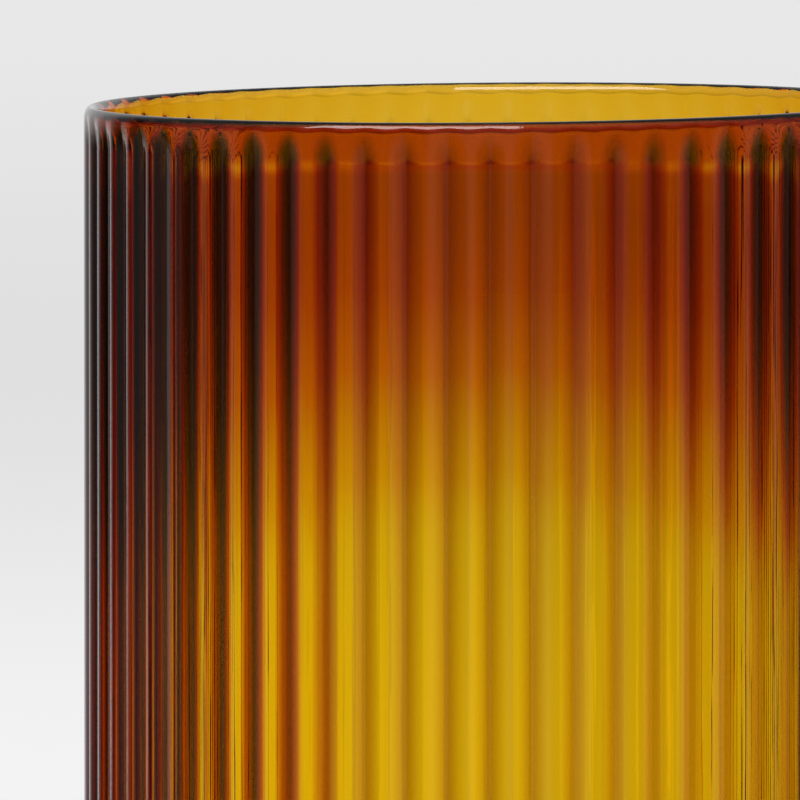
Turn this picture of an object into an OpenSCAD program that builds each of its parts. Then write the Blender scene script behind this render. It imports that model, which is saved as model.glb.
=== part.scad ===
// Ribbed cylinder vase of hand blown amber glass.
// One bubble of glass, blown into a ribbed mould, with a brown colour band picked up at the
// mouth that fades down into clear amber. Each solid below is one zone of that glass, from
// the ground ring it stands on up to the fire polished lip, and each meets the next face to
// face where the glass was joined or left to run together.
// +Z is up, and the origin is on the table under the middle of the vase.

/* [Overall size] */
// Diameter over the rib crests
vase_d = 152; // [110:1:200]
// Height of the highest point of the rim
vase_h = 254; // [180:1:400]

/* [Ribs] */
// Number of ribs round the wall
rib_count = 61; // [40:1:72]
// Depth of the grooves between the ribs
rib_depth = 0.8; // [0.5:0.1:1.4]
// Height over which the ribs melt into the lip
rib_fade_h = 4; // [1.5:0.1:6]

/* [Wall and lip] */
// Thickness of the wall from the bore to a rib crest
wall_t = 2.7; // [2.2:0.1:4]
// Height of the fire polished lip
lip_h = 2.4; // [2:0.1:3.5]
// Slant of the rim, as it was sheared by hand, in degrees
rim_slant = 0.5; // [0:0.1:1]

/* [Colour bands] */
// Height of the full brown band below the lip
brown_band_h = 38; // [20:1:50]
// Height of the band in which brown fades to amber
fade_band_h = 62; // [30:1:70]

/* [Base] */
// Thickness of the glass floor above the foot ring
floor_t = 9; // [6:0.5:14]
// Outside radius of the heel
heel_r = 8; // [4:0.5:12]
// Radius of the corner between the bore and the floor
bore_corner_r = 7; // [3:0.5:10]
// How far the ground foot ring is set in from where the heel's curve starts
foot_inset = 4; // [1:0.5:12]
// Width of the ground foot ring
foot_ring_w = 9; // [5:0.5:14]
// Height of the ground foot ring
foot_ring_h = 1.2; // [0.8:0.1:2.5]
// Diameter of the ground out pontil mark under the floor
pontil_d = 34; // [20:1:50]
// Depth of the pontil mark
pontil_depth = 1.4; // [0.8:0.1:2]

/* [Hidden] */
$fn = 120;

// The lip stands just proud of the crests, so that the ribs run out under it
lip_r = vase_d / 2;
lip_proud = 0.1;
crest_r = lip_r - lip_proud;
groove_r = crest_r - rib_depth;
bore_r = lip_r - wall_t;
// The plain glass behind the ribs starts this far below the grooves
core_drop = 0.4;
core_r = groove_r - core_drop;
// Radius of the round back of one rib, so that neighbouring ribs meet at the groove radius
rib_half_angle = 180 / rib_count;
rib_r = (pow(groove_r, 2) + pow(crest_r, 2) - 2 * groove_r * crest_r * cos(rib_half_angle))
    / (2 * (crest_r - groove_r * cos(rib_half_angle)));

// The rim's middle lies lower than its high side by half of the slant's rise
rim_rise = lip_r * sin(rim_slant);
rim_z = vase_h - rim_rise;
lip_z = rim_z - lip_h;
// From this height up the ribs have melted away, just below the lip on the rim's low side
plain_drop = 0.2;
plain_z = lip_z - rim_rise - plain_drop;
brown_z = lip_z - brown_band_h;
fade_z = brown_z - fade_band_h;
base_top_z = foot_ring_h + floor_t + bore_corner_r;
floor_z = foot_ring_h + floor_t;
foot_ring_r = lip_r - heel_r - foot_inset;

// Reach of the cutting solids past what they cut
over = 1;
// Smoothness of the small round sections
rib_fn = 48;
bead_fn = 64;

brown_glass = [0.45, 0.18, 0.05, 0.75];
fading_glass = [0.65, 0.38, 0.06, 0.7];
amber_glass = [0.84, 0.62, 0.08, 0.65];

// Outline across the wall: round backed ribs side by side, as the mould leaves them
module ribbed_outline() {
    circle(r = core_r);
    for (rib = [0 : rib_count - 1]) {
        rotate(-90 + (rib + 0.5) * 2 * rib_half_angle)
            translate([crest_r - rib_r, 0])
                circle(r = rib_r, $fn = rib_fn);
    }
}

// A stretch of ribbed wall with its bore
module ribbed_wall(low_z, high_z) {
    translate([0, 0, low_z])
        linear_extrude(height = high_z - low_z)
            difference() {
                ribbed_outline();
                circle(r = bore_r);
            }
}

// Tips what is drawn about the rim's middle by the slant of the rim
module slanted() {
    translate([0, 0, rim_z])
        rotate([0, -rim_slant, 0])
            children();
}

// Rounded rim: the flame draws its crown up into a round bead as wide as the wall
module lip() {
    bead_r = wall_t / 2;
    color(brown_glass)
        slanted()
            rotate_extrude()
                translate([bore_r, -lip_h]) {
                    square([wall_t, lip_h - bead_r]);
                    translate([0, lip_h - bead_r])
                        intersection() {
                            translate([bead_r, 0])
                                circle(r = bead_r, $fn = bead_fn);
                            square([wall_t, bead_r]);
                        }
                }
}

// Brown band below the lip, where the ribs melt back into a plain ring
module brown_wall() {
    color(brown_glass)
        difference() {
            union() {
                ribbed_wall(brown_z, vase_h);
                plain_ring();
            }
            slanted()
                translate([-vase_d, -vase_d, -lip_h])
                    cube([2 * vase_d, 2 * vase_d, vase_h]);
        }
}

// The ring that the ribs melt into, which is highest where the rim was left highest
module plain_ring() {
    difference() {
        union() {
            translate([0, 0, plain_z - rib_fade_h])
                cylinder(r1 = core_r, r2 = lip_r, h = rib_fade_h);
            translate([0, 0, plain_z])
                cylinder(r = lip_r, h = vase_h - plain_z);
        }
        cylinder(r = bore_r, h = vase_h + over);
    }
}

// Band where the brown runs out into amber
module fading_wall() {
    color(fading_glass)
        ribbed_wall(fade_z, brown_z);
}

// Clear amber wall down to the base
module amber_wall() {
    color(amber_glass)
        ribbed_wall(base_top_z, fade_z);
}

// Thick floor with its rounded heel, a rounded corner inside and the pontil mark beneath
module base() {
    pontil_r = (pow(pontil_d / 2, 2) + pow(pontil_depth, 2)) / (2 * pontil_depth);
    color(amber_glass)
        difference() {
            intersection() {
                translate([0, 0, foot_ring_h])
                    linear_extrude(height = base_top_z - foot_ring_h)
                        ribbed_outline();
                heel_form();
            }
            bore_form();
            translate([0, 0, foot_ring_h + pontil_depth - pontil_r])
                sphere(r = pontil_r);
        }
}

// Solid of revolution that rounds the ribs off round the heel
module heel_form() {
    rotate_extrude()
        translate([0, foot_ring_h])
            difference() {
                square([lip_r, base_top_z]);
                translate([lip_r - heel_r, 0])
                    outer_corner(heel_r);
            }
}

// The hollow over the floor, with its rounded corner
module bore_form() {
    rotate_extrude()
        translate([0, floor_z])
            difference() {
                square([bore_r, bore_corner_r + over]);
                translate([bore_r - bore_corner_r, 0])
                    outer_corner(bore_corner_r);
            }
}

// What a rounded lower right corner leaves out of its square
module outer_corner(r) {
    difference() {
        square([r + over, r]);
        translate([0, r])
            circle(r = r);
    }
}

// Flat ground ring that the vase stands on
module foot_ring() {
    color(amber_glass)
        difference() {
            cylinder(r = foot_ring_r, h = foot_ring_h);
            translate([0, 0, -over])
                cylinder(r = foot_ring_r - foot_ring_w, h = foot_ring_h + 2 * over);
        }
}

lip();
brown_wall();
fading_wall();
amber_wall();
base();
foot_ring();
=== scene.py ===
# Ribbed cylinder vase of hand blown glass, brown at the mouth and amber below
import bpy
import math
import numpy as np
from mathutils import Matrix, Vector


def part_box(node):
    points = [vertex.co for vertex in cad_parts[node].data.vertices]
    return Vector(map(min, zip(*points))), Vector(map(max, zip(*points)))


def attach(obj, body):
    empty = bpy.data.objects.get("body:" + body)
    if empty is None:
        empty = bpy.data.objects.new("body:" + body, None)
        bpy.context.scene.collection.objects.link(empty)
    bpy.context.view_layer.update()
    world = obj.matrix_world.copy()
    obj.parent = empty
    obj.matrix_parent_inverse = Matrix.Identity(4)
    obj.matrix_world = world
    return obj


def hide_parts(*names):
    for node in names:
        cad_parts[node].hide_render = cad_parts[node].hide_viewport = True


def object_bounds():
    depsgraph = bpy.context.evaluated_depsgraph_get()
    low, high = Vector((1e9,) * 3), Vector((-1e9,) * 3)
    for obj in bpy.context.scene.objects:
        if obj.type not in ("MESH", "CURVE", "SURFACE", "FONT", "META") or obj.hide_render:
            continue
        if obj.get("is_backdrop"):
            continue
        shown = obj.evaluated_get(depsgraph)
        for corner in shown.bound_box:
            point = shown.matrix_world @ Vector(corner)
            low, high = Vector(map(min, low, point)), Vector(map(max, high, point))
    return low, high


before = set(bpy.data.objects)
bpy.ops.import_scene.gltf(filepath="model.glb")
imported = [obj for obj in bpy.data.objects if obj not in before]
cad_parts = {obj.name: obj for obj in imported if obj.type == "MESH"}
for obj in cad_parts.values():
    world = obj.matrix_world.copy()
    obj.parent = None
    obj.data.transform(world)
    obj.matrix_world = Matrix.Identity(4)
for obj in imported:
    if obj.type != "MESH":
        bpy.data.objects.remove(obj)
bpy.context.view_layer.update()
mm = 0.001


def srgb(hexColour):  # sRGB hex to linear, with a full alpha
    parts = [int(hexColour[i:i + 2], 16) / 255 for i in (1, 3, 5)]
    return (*(p / 12.92 if p <= 0.04045 else ((p + 0.055) / 1.055) ** 2.4 for p in parts), 1)


def node(tree, kind, settings=None, *inputs):
    # adds one node: settings and links by name, then its inputs in their order
    made = tree.nodes.new(kind)
    sockets = []
    for name, value in (settings or {}).items():
        if hasattr(made, name):
            setattr(made, name, value)
        else:
            sockets.append((made.inputs[name], value))
    for socket, value in [*zip(made.inputs, inputs), *sockets]:
        value = value.outputs[0] if hasattr(value, "outputs") else value  # a node stands for its first output
        if isinstance(value, bpy.types.NodeSocket):
            tree.links.new(value, socket)
        else:
            socket.default_value = value
    return made


def smooth(x):  # 0 to 1 with soft ends
    x = np.clip(x, 0, 1)
    return x * x * (3 - 2 * x)


# what all the zones of the vase share
vase = {
    "ribs": 61,
    "ribDepth": 0.8 * mm,
    "creased": 0.5,  # 0 is a groove as round as the rib, 1 is a sharp crease
    "stepsPerRib": 24,
    "wall": 2.7 * mm,
    "crestInset": 0.1 * mm,  # of the crests from the lip's own circle
    "boreFollows": 0.8,  # share of the ribs that shows on the inside
    "boreFrom": 5.5 * mm,  # below the lip: where that share is reached
    "ribsFull": 7.5 * mm,  # below the crown: the ribs are whole from here down
    "ribsHeads": 2.3 * mm,  # faint rib heads up to here
    "ribsGone": 0.4 * mm,  # and molten away here
    "headShare": 0.1,
    "slant": math.radians(0.5),  # of the rim, which was sheared by hand
    "slantFrom": 60 * mm,  # below the crown: where the slant starts
    "slantOver": 50 * mm,
    "blownWave": 0.04 * mm,  # slow unevenness of blown glass
    "swells": (2, 3, 5, 7, 11),  # of that unevenness, round the girth
    "swellTurn": 0.021,  # how far a swell turns as it climbs, in radians per mm
    "joinGap": 0.004 * mm,  # between two zones, so that their ends don't share a face
    "endRow": 0.08 * mm,  # short first and last row of a zone
}
lipLow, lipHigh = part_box("lip")
lipRadius = (lipHigh[0] - lipLow[0]) / 2
rimMiddle = lipHigh[2] - lipRadius * math.sin(vase["slant"])
crestRadius = lipRadius - vase["crestInset"]
boreRadius = lipRadius - vase["wall"]
ringLow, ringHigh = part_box("foot_ring")
ringOuter, ringTop = (ringHigh[0] - ringLow[0]) / 2, ringHigh[2]
brownLow, fadeLow, amberLow = (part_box(name)[0][2] for name in ("brown_wall", "fading_wall", "amber_wall"))

# the camera stands far away with a long lens, aimed at the upper left of the vase
camera = {
    "distance": 5.0,
    "elevation": 3.5,  # degrees
    "viewWidth": 0.986,  # what the view spans, in diameters of the vase
    "aimLeft": 0.1094,  # off the axis, in diameters
    "aimDown": 0.3675,  # below the middle of the rim, in diameters
    "sensor": 36,
    "clip": (0.1, 50),
}
diameter = 2 * lipRadius
elevation = math.radians(camera["elevation"])
aim = Vector((-camera["aimLeft"] * diameter, 0, rimMiddle - camera["aimDown"] * diameter))
back = Vector((0, -math.cos(elevation), math.sin(elevation)))
camData = bpy.data.cameras.new("camera")
camData.sensor_width = camera["sensor"]
camData.lens = camera["sensor"] * camera["distance"] / (camera["viewWidth"] * diameter)
camData.clip_start, camData.clip_end = camera["clip"]
camObject = bpy.data.objects.new("camera", camData)
camObject.location = aim + back * camera["distance"]
camObject.rotation_mode = "QUATERNION"
camObject.rotation_quaternion = (-back).to_track_quat("-Z", "Y")
bpy.context.scene.collection.objects.link(camObject)
bpy.context.scene.camera = camObject
print("camera placed, lens", round(camData.lens), "mm")

# every zone is made of rows of points that go round the axis
columns = vase["ribs"] * vase["stepsPerRib"]
turn = np.arange(columns) / columns * 2 * math.pi - math.pi / 2
pitch = 2 * math.pi / vase["ribs"]
fromCrest = np.abs((turn + math.pi / 2) % pitch * 2 / pitch - 1)  # 1 in a groove, and one faces the front
rounded = vase["ribDepth"] * (1 - np.cos(math.pi * fromCrest)) / 2
sharp = vase["ribDepth"] * fromCrest**2
cut = rounded * (1 - vase["creased"]) + sharp * vase["creased"]  # how far inside the crest circle
cut = cut - cut.min()


def wave(z, surface, size):  # slow unevenness in metres, different on each numbered surface
    total = np.zeros_like(turn)
    for k in vase["swells"]:
        phase = surface * 1.7 + k * 2.3  # any numbers that keep the swells apart
        total = total + np.sin(k * turn + phase + z / mm * vase["swellTurn"] * (k % 3 + 1)) / k
    return total * size * 0.6  # the swells together reach about this far


def ring(radius, z):  # one row of points round the axis
    return np.stack([radius * np.cos(turn), radius * np.sin(turn), np.zeros_like(turn) + z], axis=1)


def slanted(row):  # tips a row near the mouth
    share = smooth((row[:, 2] - rimMiddle + vase["slantFrom"]) / vase["slantOver"])
    row = row.copy()
    row[:, 2] += np.sin(vase["slant"]) * row[:, 0] * share
    return row


def ribsLeft(below):  # share of the rib depth that is left this far below the crown
    heads = smooth((below - vase["ribsGone"]) / (vase["ribsHeads"] - vase["ribsGone"]))
    full = smooth((below - vase["ribsGone"]) / (vase["ribsFull"] - vase["ribsGone"]))
    return heads * vase["headShare"] + full * (1 - vase["headShare"])


def outerRow(z):  # ribbed outside of the wall at height z
    radius = crestRadius - cut * ribsLeft(rimMiddle - z)
    return slanted(ring(radius - vase["blownWave"] * 0.5 + wave(z, 1, vase["blownWave"] * 0.5), z))


def innerRow(z):  # the bore follows the ribs, as the bubble was blown into them
    share = vase["boreFollows"] * smooth((lipJoin - z) / vase["boreFrom"])
    ribbed = (cut.mean() - cut) * share
    return slanted(ring(boreRadius + ribbed + wave(z, 4, vase["blownWave"]), z))


def closedTurned(name, rows, joints=(), poles=None):
    # rows go once round the section, or from pole to pole; joints are the bands that are hot joins
    bands = len(rows) - 1 if poles else len(rows)
    points = np.concatenate(rows)
    here = np.arange(columns)
    nextColumn = np.roll(here, -1)
    quads, joined = [], []
    for r in range(bands):
        low, high = r * columns, (r + 1) % len(rows) * columns
        quads.append(np.stack([low + here, low + nextColumn, high + nextColumn, high + here], axis=1))
        joined += [1 if r in joints else 0] * columns
    faces = np.concatenate(quads).tolist()
    if poles:
        first, last = len(points), len(points) + 1
        points = np.concatenate([points, poles])
        top = (len(rows) - 1) * columns
        faces += [(first, int(d), int(c)) for c, d in zip(here, nextColumn)]
        faces += [(last, top + int(c), top + int(d)) for c, d in zip(here, nextColumn)]
        joined += [0] * (2 * columns)
    mesh = bpy.data.meshes.new(name)
    mesh.from_pydata(points.tolist(), [], faces)
    mesh.attributes.new("join", "FLOAT", "FACE").data.foreach_set("value", joined)
    mesh.polygons.foreach_set("use_smooth", [True] * len(faces))
    mesh.update()
    ends = np.empty(len(mesh.edges) * 2, dtype=int)
    mesh.edges.foreach_get("vertices", ends)
    rowOf = ends.reshape(-1, 2) // columns
    rims = [r for j in joints for r in (j, (j + 1) % len(rows))]
    hard = (rowOf[:, 0] == rowOf[:, 1]) & np.isin(rowOf[:, 0], rims)
    mesh.edges.foreach_set("use_edge_sharp", hard)
    made = bpy.data.objects.new(name, mesh)
    bpy.context.scene.collection.objects.link(made)
    return made


# the lip: fire polished, so its crown is round and the ribs melt into it
lipShape = {
    "height": 2.4 * mm,
    "crown": 2.2 * mm,  # of the rounding that the flame leaves
    "crownRows": 41,
    "wave": 0.03 * mm,  # up and down along the crown
}
lipJoin = rimMiddle - lipShape["height"]


def lipPiece():
    low = lipJoin + vase["joinGap"]
    half, tall = vase["wall"] / 2, lipShape["crown"]
    middle = lipRadius - half
    crown = []
    for angle in np.radians(np.linspace(0, 180, lipShape["crownRows"])):
        z = rimMiddle - tall + tall * math.sin(angle)
        if angle < math.pi / 2:
            radius = crestRadius - (1 - math.cos(angle)) * (crestRadius - middle)
            radius = radius - cut * ribsLeft(rimMiddle - z) * math.cos(angle)
            radius = radius - vase["blownWave"] * 0.5 + wave(z, 1, vase["blownWave"] * 0.5) * math.cos(angle)
        else:
            radius = middle + half * math.cos(angle) - wave(z, 4, vase["blownWave"]) * math.cos(angle)
        crown.append(slanted(ring(radius, z + wave(z, 9, lipShape["wave"]) * math.sin(angle))))
    outer = [outerRow(z) for z in (low, low + vase["endRow"])]
    inner = [innerRow(z) for z in (low + vase["endRow"], low)]
    rows = outer + crown + inner
    return closedTurned("lip", rows, {len(rows) - 1})


lip = lipPiece()
print("lip made")

# the three wall zones: brown, fading and amber
wallShape = {
    "row": 3 * mm,  # height of a row of faces
    "meltRow": 0.36 * mm,  # where the ribs melt
    "meltUnder": 0.6 * mm,  # how far under the whole ribs those rows start
    "amberRow": 6 * mm,
}


def wallRows(low, high, step):  # heights of the rows, with a short first and last step
    count = max(2, round((high - low) / step) + 1)
    edge = vase["endRow"]
    return np.concatenate([[low, low + edge], np.linspace(low, high, count)[1:-1], [high - edge, high]])


def wallPiece(name, heights):
    outer = [outerRow(z) for z in heights]
    inner = [innerRow(z) for z in heights[::-1]]
    rows = outer + inner
    return closedTurned(name, rows, {len(outer) - 1, len(rows) - 1})


meltFrom = rimMiddle - vase["ribsFull"] - wallShape["meltUnder"]
brown = wallPiece("brownWall", np.concatenate([
    wallRows(brownLow + vase["joinGap"], meltFrom, wallShape["row"])[:-1],
    wallRows(meltFrom, lipJoin, wallShape["meltRow"])]))
fading = wallPiece("fadingWall", wallRows(fadeLow + vase["joinGap"], brownLow, wallShape["row"]))
amber = wallPiece("amberWall", wallRows(amberLow + vase["joinGap"], fadeLow, wallShape["amberRow"]))
print("three wall zones made")

# the base: a thick floor, rounded outside and in, with the pontil mark ground out underneath
baseShape = {
    "heel": 8 * mm,
    "heelRows": 20,
    "heelFrom": 6,  # degrees round the heel, where its first row lies
    "heelEase": 0.15 * mm,  # softness where the ribs run out on the heel
    "wallRows": 4,
    "boreCorner": 7 * mm,
    "cornerRows": 16,
    "floor": 9 * mm,
    "floorRows": 8,
    "floorMiddle": 2 * mm,  # radius of its innermost row
    "pontil": 17 * mm,
    "pontilDepth": 1.4 * mm,
    "pontilRows": 12,
    "pontilMiddle": 0.04,  # radius of its innermost row, as a share
    "pontilEdge": 1 * mm,
    "underRows": 6,
}
# the foot ring: ground flat
ringShape = {
    "width": 9 * mm,
    "edge": 0.35 * mm,  # ground off its edges
}
ringInner = ringOuter - ringShape["width"]


def basePiece():
    heel, corner, pontil = baseShape["heel"], baseShape["boreCorner"], baseShape["pontil"]
    low, floorTop, depth = ringTop, ringTop + baseShape["floor"], baseShape["pontilDepth"]
    span = np.linspace(baseShape["pontilMiddle"], 1, baseShape["pontilRows"])
    rows = [ring(r * pontil, low + depth * (1 - r * r)) for r in span]
    rows += [ring(r, low) for r in np.linspace(pontil + baseShape["pontilEdge"], ringInner, baseShape["underRows"])]
    joinRing = len(rows) - 1
    rows += [ring(ringOuter, low), ring(lipRadius - heel, low)]
    for angle in np.radians(np.linspace(baseShape["heelFrom"], 90, baseShape["heelRows"])):
        limit = lipRadius - heel + heel * math.sin(angle)
        z = low + heel * (1 - math.cos(angle))
        ribbed = outerRow(z)
        reach = np.hypot(ribbed[:, 0], ribbed[:, 1])
        eased = baseShape["heelEase"]
        rows.append(ring(-np.logaddexp(-reach / eased, -limit / eased) * eased, z))
    rows += [outerRow(z) for z in np.linspace(low + heel, amberLow, baseShape["wallRows"])[1:]]
    joinWall = len(rows) - 1
    rows += [innerRow(amberLow)]
    for angle in np.radians(np.linspace(0, 90, baseShape["cornerRows"])):
        rows.append(ring(boreRadius - corner + corner * math.cos(angle), floorTop + corner * (1 - math.sin(angle))))
    across = np.linspace(boreRadius - corner, baseShape["floorMiddle"], baseShape["floorRows"])
    rows += [ring(r, floorTop) for r in across[1:]]
    return closedTurned("base", rows, {joinRing, joinWall}, [(0, 0, low + depth), (0, 0, floorTop)])


def footRingPiece():
    edge, top = ringShape["edge"], ringTop - vase["joinGap"]
    section = [(ringInner + edge, 0), (ringOuter - edge, 0)]
    section += [(ringOuter - edge + edge * math.sin(a), edge - edge * math.cos(a)) for a in np.radians((30, 60, 90))]
    joinBase = len(section)
    section += [(ringOuter, top), (ringInner, top), (ringInner, edge)]
    section += [(ringInner + edge - edge * math.cos(a), edge - edge * math.sin(a)) for a in np.radians((30, 60))]
    return closedTurned("footRing", [ring(r, z) for r, z in section], {joinBase})


base, footRing = basePiece(), footRingPiece()
print("base and foot ring made")

# soda lime glass blown into a ribbed mould: it is clear right through with a wet gloss, and faint upright
# lines show where it was drawn out; amber all through, so its colour deepens with thickness and at the edges
glass = {
    "ior": 1.5,
    "body": "#fef550",  # amber, seen through a thin layer
    "density": 1290.0,  # per metre
    "striaWidth": 1.1 * mm,
    "striaLength": 70 * mm,
    "striaDepth": 0.012 * mm,
    "groundRoughness": 0.35,  # the foot's flat face is ground, so it is dull
}
# the brown was laid on the outside of the hot glass: a deep band at the mouth that runs out downwards; this table
# also holds painted shade in the grooves, at the left edge and at the front of the mouth
brownAndShade = {
    "middle": 58 * mm,  # below the crown: where half of the brown is left
    "reach": 38 * mm,  # above and below that, until it is full and until it is gone
    "arch": 8 * mm,  # it reaches lower at the two sides
    "uneven": 10 * mm,
    "lobe": 25.33 * mm,  # length of its unevenness along the girth
    "thin": 0.05,  # what is left below the band
    "sideGrooveShade": 8.0,  # painted shade deepening the brown in the grooves, most at the two sides
    "grooveStart": 0.15,  # share of the rib's depth that stays free of it
    "grooveShade": 0.48,  # painted shade: light taken off the colour in the grooves
    "front": (-0.5, 0, 1, 0),  # the painted groove shade lies on the front half, toward the camera, and not on the back
    "leftGrooveShade": (-0.62, -0.3, 2.6, 0.2),  # from, to, painted shade in the grooves at the left, and elsewhere
    # painted shade that darkens the very left edge: from, to, its depth there, and elsewhere
    "leftEdge": (-0.995, -0.95, 2.2, 0),
    # near the mouth the front is painted deeper and the back kept thin: painted shade at the front of the mouth,
    # painted light at its back
    "nearMouth": (6.5 * mm, 9.5 * mm, 1.3, 0.25),  # below the crown, and the band's strength at the front
    "farMouth": (14 * mm, 17.5 * mm, 0.27, 1.6),  # and at the back
    "skin": 0.4 * mm,  # how far inside the middle of the wall the outside counts from
    # the stops past 1.6 are reached only where painted shade is added
    "colours": ((0, "#ffffff"), (0.2, "#edb860"), (0.7, "#c8613c"), (1.15, "#a23420"), (1.6, "#812718"),
                (2.4, "#471f0a"), (3.2, "#271b10"), (4.2, "#150f0a")),  # by its depth
}
soft = {"interpolation_type": "SMOOTHSTEP"}  # of a range with soft ends


def emptyTree(owner):
    owner.use_nodes = True
    owner.node_tree.nodes.clear()
    return owner.node_tree


def brownAndPaintedShade(tree, reach, facing, z):  # depth of the brown with painted shade added in the grooves and at the left edge, and the painted shade that darkens the grooves' colour
    aside = node(tree, "ShaderNodeSeparateXYZ", {}, facing)
    acrossX, acrossY = aside.outputs["X"], aside.outputs["Y"]
    across = node(tree, "ShaderNodeMath", {"operation": "MULTIPLY"}, acrossX, acrossX)
    # the band, with its arched and uneven lower edge
    noise = node(tree, "ShaderNodeTexNoise", {
        "Vector": facing, "Scale": lipRadius / brownAndShade["lobe"], "Detail": 3.0, "Roughness": 0.6})
    arch = node(tree, "ShaderNodeMath", {"operation": "MULTIPLY_ADD"}, across, -2 * brownAndShade["arch"], brownAndShade["arch"])
    ragged = node(tree, "ShaderNodeMath", {"operation": "MULTIPLY_ADD"}, noise, 2 * brownAndShade["uneven"], -brownAndShade["uneven"])
    edge = node(tree, "ShaderNodeMath", {"operation": "ADD"}, arch, ragged)
    edge = node(tree, "ShaderNodeMath", {"operation": "ADD"}, edge, rimMiddle - brownAndShade["middle"])
    above = node(tree, "ShaderNodeMath", {"operation": "SUBTRACT"}, z, edge)
    band = node(tree, "ShaderNodeMapRange", soft, above, -brownAndShade["reach"], brownAndShade["reach"], brownAndShade["thin"], 1)
    # painted shade added to the brown's depth: in the grooves of the front half, most at the two sides and at the
    # left, and at the left edge
    groove = node(tree, "ShaderNodeMath", {"operation": "SUBTRACT"}, crestRadius, reach)
    groove = node(tree, "ShaderNodeMath", {"operation": "DIVIDE"}, groove, vase["ribDepth"])
    groove = node(tree, "ShaderNodeMath", {"operation": "MULTIPLY_ADD", "use_clamp": True}, groove,
                  1 + brownAndShade["grooveStart"], -brownAndShade["grooveStart"])
    front = node(tree, "ShaderNodeMapRange", soft, acrossY, *brownAndShade["front"])
    inGroove = node(tree, "ShaderNodeMath", {"operation": "MULTIPLY"}, groove, front)
    leftShade = node(tree, "ShaderNodeMapRange", soft, acrossX, *brownAndShade["leftGrooveShade"])
    sideAndLeftShade = node(tree, "ShaderNodeMath", {"operation": "MULTIPLY"}, band, across)
    sideAndLeftShade = node(tree, "ShaderNodeMath", {"operation": "MULTIPLY_ADD"}, sideAndLeftShade, brownAndShade["sideGrooveShade"], leftShade)
    leftEdgeShade = node(tree, "ShaderNodeMapRange", soft, acrossX, *brownAndShade["leftEdge"])
    paintedShadeDepth = node(tree, "ShaderNodeMath", {"operation": "MULTIPLY_ADD"}, inGroove, sideAndLeftShade, leftEdgeShade)
    # the band is deeper at the front near the mouth and thin at the back there, as painted shade and painted light,
    # and deeper at the back below it
    below = node(tree, "ShaderNodeMath", {"operation": "SUBTRACT"}, rimMiddle, z)
    nearSide = node(tree, "ShaderNodeMapRange", soft, below, *brownAndShade["nearMouth"])
    farSide = node(tree, "ShaderNodeMapRange", soft, below, *brownAndShade["farMouth"])
    far = node(tree, "ShaderNodeMath", {"operation": "MULTIPLY_ADD"}, acrossY, 0.5, 0.5)
    near = node(tree, "ShaderNodeMath", {"operation": "SUBTRACT"}, 1.0, far)
    deeper = node(tree, "ShaderNodeMath", {"operation": "MULTIPLY"}, near, nearSide)
    deeper = node(tree, "ShaderNodeMath", {"operation": "MULTIPLY_ADD"}, far, farSide, deeper)
    depth = node(tree, "ShaderNodeMath", {"operation": "MULTIPLY_ADD"}, band, deeper, paintedShadeDepth)
    # only on the outside
    skin = (boreRadius + crestRadius) / 2 - brownAndShade["skin"]
    outside = node(tree, "ShaderNodeMath", {"operation": "GREATER_THAN"}, reach, skin)
    depth = node(tree, "ShaderNodeMath", {"operation": "MULTIPLY"}, depth, outside)
    shade = node(tree, "ShaderNodeMath", {"operation": "MULTIPLY"}, inGroove, outside)
    shade = node(tree, "ShaderNodeMath", {"operation": "MULTIPLY_ADD"}, shade, -brownAndShade["grooveShade"], 1.0)
    return depth, shade


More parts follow.
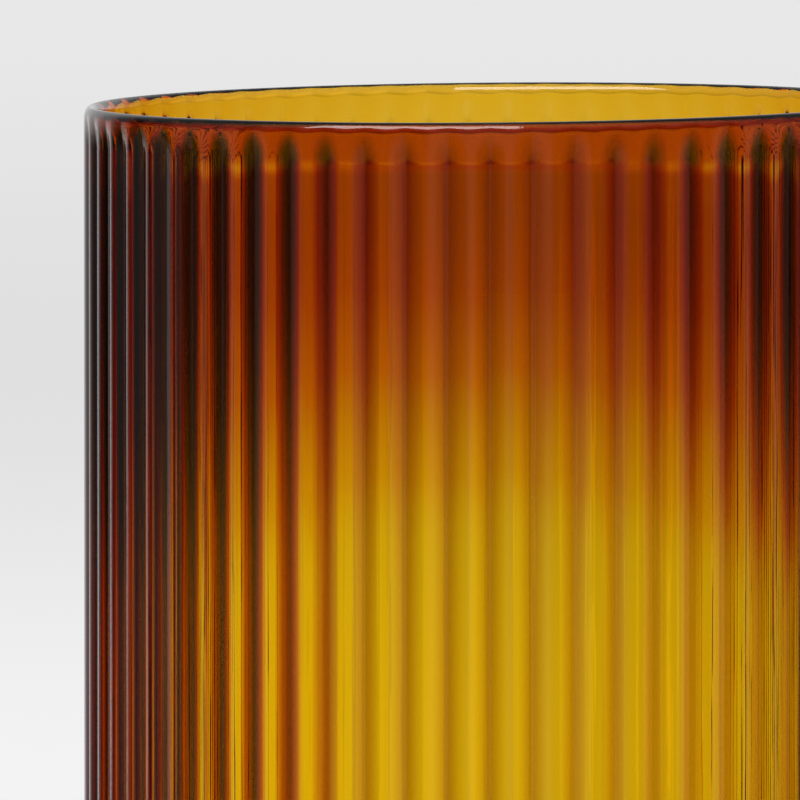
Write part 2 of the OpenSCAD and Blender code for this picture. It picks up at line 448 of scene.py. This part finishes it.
def mouldBlownGlass():
    mat = bpy.data.materials.new("mould blown soda lime glass")
    tree = emptyTree(mat)
    where = node(tree, "ShaderNodeTexCoord").outputs["Object"]
    x, y, z = node(tree, "ShaderNodeSeparateXYZ", {}, where).outputs
    flat = node(tree, "ShaderNodeCombineXYZ", {}, x, y)
    reach = node(tree, "ShaderNodeVectorMath", {"operation": "LENGTH"}, flat).outputs["Value"]
    facing = node(tree, "ShaderNodeVectorMath", {"operation": "NORMALIZE"}, flat)
    depth, shade = brownAndPaintedShade(tree, reach, facing, z)
    # the brown's colour by its depth, which holds the painted shade too
    deepest = brownAndShade["colours"][-1][0]
    share = node(tree, "ShaderNodeMath", {"operation": "DIVIDE"}, depth, deepest)
    tint = node(tree, "ShaderNodeValToRGB", {}, share)
    stops = tint.color_ramp.elements
    while len(stops) < len(brownAndShade["colours"]):
        stops.new(0.5)
    for stop, (at, colour) in zip(stops, brownAndShade["colours"]):
        stop.position = at / deepest
    for stop, (at, colour) in zip(stops, brownAndShade["colours"]):
        stop.color = srgb(colour)
    # painted shade: the colour is darkened in the grooves of the front half
    tintedAndShaded = node(tree, "ShaderNodeVectorMath", {"operation": "SCALE", "Scale": shade}, tint)
    # upright lines drawn out in the blowing
    finely = crestRadius / glass["striaWidth"]
    around = node(tree, "ShaderNodeVectorMath", {"operation": "SCALE", "Scale": finely}, facing)
    along = node(tree, "ShaderNodeMath", {"operation": "DIVIDE"}, z, glass["striaLength"])
    upright = node(tree, "ShaderNodeCombineXYZ", {"Z": along})
    drawn = node(tree, "ShaderNodeVectorMath", {"operation": "ADD"}, around, upright)
    striae = node(tree, "ShaderNodeTexNoise", {"Vector": drawn, "Scale": 1.0, "Detail": 2.0, "Roughness": 0.5})
    lines = node(tree, "ShaderNodeBump", {"Strength": 1.0, "Distance": glass["striaDepth"], "Height": striae})
    # the ground face of the foot
    ground = node(tree, "ShaderNodeMath", {"operation": "LESS_THAN"}, z, ringShape["edge"] / 2)
    ground = node(tree, "ShaderNodeMath", {"operation": "MULTIPLY"}, ground, glass["groundRoughness"])
    shader = node(tree, "ShaderNodeBsdfPrincipled", {
        "Base Color": tintedAndShaded, "Roughness": ground, "Normal": lines, "Transmission Weight": 1.0, "IOR": glass["ior"]})
    # two zones are one glass, so where they join, light goes straight through
    clear = node(tree, "ShaderNodeBsdfTransparent")
    joined = node(tree, "ShaderNodeAttribute", {"attribute_name": "join"}).outputs["Fac"]
    surface = node(tree, "ShaderNodeMixShader", {}, joined, shader, clear)
    body = node(tree, "ShaderNodeVolumeAbsorption", {"Color": srgb(glass["body"]), "Density": glass["density"]})
    node(tree, "ShaderNodeOutputMaterial", {"Surface": surface, "Volume": body})
    return mat


blownGlass = mouldBlownGlass()
for piece, cadNode, slot in (
        (lip, "lip", "brown_glass"), (brown, "brown_wall", "brown_glass"),
        (fading, "fading_wall", "fading_glass"), (amber, "amber_wall", "amber_glass"),
        (base, "base", "amber_glass"), (footRing, "foot_ring", "ground_glass")):
    piece.data.materials.append(blownGlass)
    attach(piece, "root")
    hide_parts(cadNode)
print("glass made, six zones ride on root")

# a plain pale studio: a lit sweep behind, dark flags beside it, pale panels, and one softbox for the gloss
studio = {
    "sweep": 0.74,  # light of the sweep
    "sweepLeft": (-60, -24, 0, 1),  # degrees off the middle: dark, fully lit
    "sweepRight": (24, 60, 1, 0),
    "flags": 0.02,
    "panels": 0.16,  # at both sides and in front
    "panelFade": (8, 24),  # degrees off each panel's middle
    "ceiling": 0.25,
    "ceilingFrom": (8, 30),  # degrees above the horizon
    "key": 7.0,  # softbox in front, above and to the left
    "keyAside": (-60, 11),  # degrees
    "keyUp": (29, 52),
    "keySoft": 0.6,
    "backdropAway": 1.2,
    "backdropHalf": math.radians(30),  # half its width, seen from the vase
    "backdropLow": -0.1,
    "backdropTop": 0.45,
    "backdropDim": 0.017,  # below the sweep
    "backdropFoot": (0.035, 0.135, 0.15, 0),  # heights, and the light added there
    "backdropHead": (0.135, 0.215, 0, 0.06),
    "shadeAside": (-0.06, 0.02, 0, -0.14),  # a little less light to the right
    "shadeUp": (0.165, 0.195, 1, 0),  # behind the vase only
    "floorRadius": 0.62,
    "floorFade": 0.7,  # share of the radius where the paper starts to thin out
    "floorDrop": 0.2 * mm,  # under the foot, so the two faces don't meet
    "paper": "#f4f3f1",
}
bpy.context.scene.view_settings.view_transform = "Standard"


def studioWorld():
    world = bpy.data.worlds.new("studio")
    bpy.context.scene.world = world
    tree = emptyTree(world)
    where = node(tree, "ShaderNodeTexCoord").outputs["Generated"]
    x, y, z = node(tree, "ShaderNodeSeparateXYZ", {}, where).outputs
    toDegrees = 180 / math.pi
    degrees = node(tree, "ShaderNodeMath", {"operation": "ARCTAN2"}, x, y)
    degrees = node(tree, "ShaderNodeMath", {"operation": "MULTIPLY"}, degrees, toDegrees)
    up = node(tree, "ShaderNodeMath", {"operation": "ARCSINE"}, z)
    up = node(tree, "ShaderNodeMath", {"operation": "MULTIPLY"}, up, toDegrees)
    # the sweep
    left = node(tree, "ShaderNodeMapRange", soft, degrees, *studio["sweepLeft"])
    right = node(tree, "ShaderNodeMapRange", soft, degrees, *studio["sweepRight"])
    sweep = node(tree, "ShaderNodeMath", {"operation": "MULTIPLY"}, left, right)
    sweep = node(tree, "ShaderNodeMath", {"operation": "MULTIPLY"}, sweep, studio["sweep"])
    # panels at both sides and in front
    aside = node(tree, "ShaderNodeMath", {"operation": "ABSOLUTE"}, degrees)
    side = node(tree, "ShaderNodeMath", {"operation": "SUBTRACT"}, aside, 90)
    side = node(tree, "ShaderNodeMath", {"operation": "ABSOLUTE"}, side)
    ahead = node(tree, "ShaderNodeMath", {"operation": "SUBTRACT"}, 180, aside)
    nearest = node(tree, "ShaderNodeMath", {"operation": "MINIMUM"}, side, ahead)
    panels = node(tree, "ShaderNodeMapRange", soft, nearest, *studio["panelFade"], studio["panels"], 0)
    ceiling = node(tree, "ShaderNodeMapRange", soft, up, *studio["ceilingFrom"], 0, studio["ceiling"])
    # the softbox
    toward = node(tree, "ShaderNodeMath", {"operation": "MULTIPLY"}, y, -1)
    fromFront = node(tree, "ShaderNodeMath", {"operation": "ARCTAN2"}, x, toward)
    fromFront = node(tree, "ShaderNodeMath", {"operation": "MULTIPLY"}, fromFront, toDegrees)
    key = studio["key"]
    for angle, (low, high) in ((fromFront, studio["keyAside"]), (up, studio["keyUp"])):
        for edge, levels in ((low, (0, 1)), (high, (1, 0))):
            span = edge - studio["keySoft"], edge + studio["keySoft"]
            within = node(tree, "ShaderNodeMapRange", soft, angle, *span, *levels)
            key = node(tree, "ShaderNodeMath", {"operation": "MULTIPLY"}, key, within)
    total = node(tree, "ShaderNodeMath", {"operation": "MAXIMUM"}, sweep, panels)
    total = node(tree, "ShaderNodeMath", {"operation": "MAXIMUM"}, total, ceiling)
    total = node(tree, "ShaderNodeMath", {"operation": "ADD"}, total, key)
    total = node(tree, "ShaderNodeMath", {"operation": "ADD"}, total, studio["flags"])
    light = node(tree, "ShaderNodeBackground", {"Color": srgb("#ffffff"), "Strength": total})
    node(tree, "ShaderNodeOutputWorld", {"Surface": light})


def paperFloor():  # matt paper, which thins out to nothing at its edge
    mat = bpy.data.materials.new("matt pale paper")
    tree = emptyTree(mat)
    where = node(tree, "ShaderNodeTexCoord").outputs["Object"]
    reach = node(tree, "ShaderNodeVectorMath", {"operation": "LENGTH"}, where).outputs["Value"]
    radius = studio["floorRadius"]
    edge = node(tree, "ShaderNodeMapRange", soft, reach, studio["floorFade"] * radius, radius, 0, 1)
    paper = node(tree, "ShaderNodeBsdfDiffuse", {"Color": srgb(studio["paper"])})
    clear = node(tree, "ShaderNodeBsdfTransparent")
    mixed = node(tree, "ShaderNodeMixShader", {}, edge, paper, clear)
    node(tree, "ShaderNodeOutputMaterial", {"Surface": mixed})
    return mat


def litBackdrop():  # the part of the sweep that shows behind the vase, lighter at its foot
    mat = bpy.data.materials.new("lit matt paper sweep")
    tree = emptyTree(mat)
    where = node(tree, "ShaderNodeTexCoord").outputs["Object"]
    x, _, z = node(tree, "ShaderNodeSeparateXYZ", {}, where).outputs
    slope = node(tree, "ShaderNodeMath", {"operation": "DIVIDE"}, x, studio["backdropAway"])
    degrees = node(tree, "ShaderNodeMath", {"operation": "ARCTANGENT"}, slope)
    degrees = node(tree, "ShaderNodeMath", {"operation": "MULTIPLY"}, degrees, 180 / math.pi)
    left = node(tree, "ShaderNodeMapRange", soft, degrees, *studio["sweepLeft"])
    right = node(tree, "ShaderNodeMapRange", soft, degrees, *studio["sweepRight"])
    footLight = node(tree, "ShaderNodeMapRange", soft, z, *studio["backdropFoot"])
    headLight = node(tree, "ShaderNodeMapRange", soft, z, *studio["backdropHead"])
    level = node(tree, "ShaderNodeMath", {"operation": "ADD"}, footLight, headLight)
    level = node(tree, "ShaderNodeMath", {"operation": "ADD"}, level, studio["sweep"] - studio["backdropDim"])
    shadeAside = node(tree, "ShaderNodeMapRange", soft, x, *studio["shadeAside"])
    shadeUp = node(tree, "ShaderNodeMapRange", soft, z, *studio["shadeUp"])
    level = node(tree, "ShaderNodeMath", {"operation": "MULTIPLY_ADD"}, shadeAside, shadeUp, level)
    lit = node(tree, "ShaderNodeMath", {"operation": "MULTIPLY"}, left, right)
    total = node(tree, "ShaderNodeMath", {"operation": "MULTIPLY_ADD"}, lit, level, studio["flags"])
    light = node(tree, "ShaderNodeEmission", {"Color": srgb("#ffffff"), "Strength": total})
    node(tree, "ShaderNodeOutputMaterial", {"Surface": light})
    return mat


def stagePlane(name, corners, mat):
    mesh = bpy.data.meshes.new(name)
    mesh.from_pydata(corners, [], [(0, 1, 2, 3)])
    made = bpy.data.objects.new(name, mesh)
    made.data.materials.append(mat)
    bpy.context.scene.collection.objects.link(made)
    made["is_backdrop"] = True
    return made


studioWorld()
away, low, top = studio["backdropAway"], studio["backdropLow"], studio["backdropTop"]
half = away * math.tan(studio["backdropHalf"])
stagePlane("backdrop", [(-half, away, low), (half, away, low), (half, away, top), (-half, away, top)], litBackdrop())
half = studio["floorRadius"]
floor = stagePlane("floor", [(-half, -half, 0), (half, -half, 0), (half, half, 0), (-half, half, 0)], paperFloor())
floor.location.z = -studio["floorDrop"]
print("studio made")

low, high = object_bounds()
